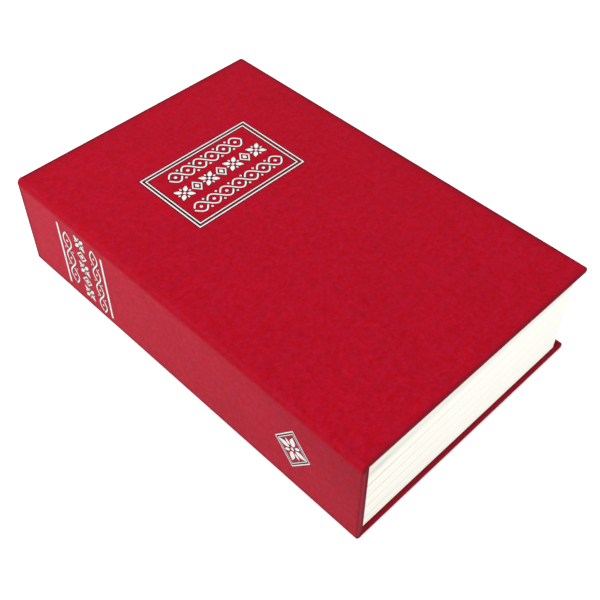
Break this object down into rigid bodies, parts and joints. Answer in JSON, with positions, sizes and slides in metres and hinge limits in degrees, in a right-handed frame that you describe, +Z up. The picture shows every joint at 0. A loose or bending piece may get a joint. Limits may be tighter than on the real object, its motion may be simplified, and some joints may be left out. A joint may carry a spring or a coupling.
{
  "type": "book diversion safe",
  "caption": "Steel safe box hidden in a hardback book: the front cover lifts off a moulded page frame to show a hinged steel lid with a cam lock.",
  "frame": {"origin": "middle of the closed book's base, on the surface that it lies on", "axes": "+X from the spine to the fore edge, +Y from the tail to the head along the spine, +Z up from the back cover to the front cover"},
  "size_m": [0.155, 0.24, 0.058],
  "materials": {
    "covering": "crimson bookbinding paper with a fine mottled grain, low sheen",
    "board": "grey-brown binder's board, matt",
    "endpaper": "cream paper, matt",
    "page_plastic": "ivory moulded plastic with leaf lines",
    "box_paint": "charcoal powder coat, fine texture",
    "zinc_steel": "bright zinc plate",
    "lock_chrome": "polished chrome plate",
    "wafer_brass": "plain stamped brass"
  },
  "bodies": {
    "safe_body": {"back_board": "board", "back_covering": "covering", "back_endpaper": "endpaper", "spine_board": "board", "spine_covering": "covering", "page_frame": "page_plastic", "box_tray": "box_paint", "strike_bracket": "zinc_steel", "box_screw_1": "zinc_steel", "box_screw_2": "zinc_steel", "box_screw_3": "zinc_steel", "box_screw_4": "zinc_steel", "hinge_fixed_leaf": "zinc_steel", "hinge_pin": "zinc_steel", "box_rivet_1": "zinc_steel", "box_rivet_2": "zinc_steel", "box_rivet_3": "zinc_steel", "box_rivet_4": "zinc_steel"},
    "front_cover": {"front_board": "board", "front_covering": "covering", "front_endpaper": "endpaper"},
    "lid": {"lid_panel": "box_paint", "hinge_moving_leaf": "zinc_steel", "lid_rivet_1": "zinc_steel", "lid_rivet_2": "zinc_steel", "lid_rivet_3": "zinc_steel", "lid_rivet_4": "zinc_steel", "lock_housing": "lock_chrome", "lock_washer": "zinc_steel", "lock_nut": "zinc_steel"},
    "lock_core": {"lock_plug": "lock_chrome", "lock_cam": "zinc_steel", "cam_screw": "zinc_steel", "lock_wafer_1": "wafer_brass", "lock_wafer_2": "wafer_brass", "lock_wafer_3": "wafer_brass", "lock_wafer_4": "wafer_brass", "wafer_spring_1": "zinc_steel", "wafer_spring_2": "zinc_steel", "wafer_spring_3": "zinc_steel", "wafer_spring_4": "zinc_steel"}
  },
  "joints": [
    {"name": "cover_hinge", "type": "hinge", "parent": "safe_body", "child": "front_cover", "pos_m": [-0.07698, 0, 0.05747], "axis": [0, -1, 0], "range_deg": [0, 200]},
    {"name": "lid_hinge", "type": "hinge", "parent": "safe_body", "child": "lid", "pos_m": [-0.0711, 0, 0.0521], "axis": [0, -1, 0], "range_deg": [0, 105]},
    {"name": "lock_turn", "type": "hinge", "parent": "lid", "child": "lock_core", "pos_m": [0.046, 0, 0.05105], "axis": [0, 0, 1], "range_deg": [0, 90]}
  ],
  "couplings": [
    {"joint": "lid_hinge", "follows": "cover_hinge", "ratio": 0.525}
  ]
}
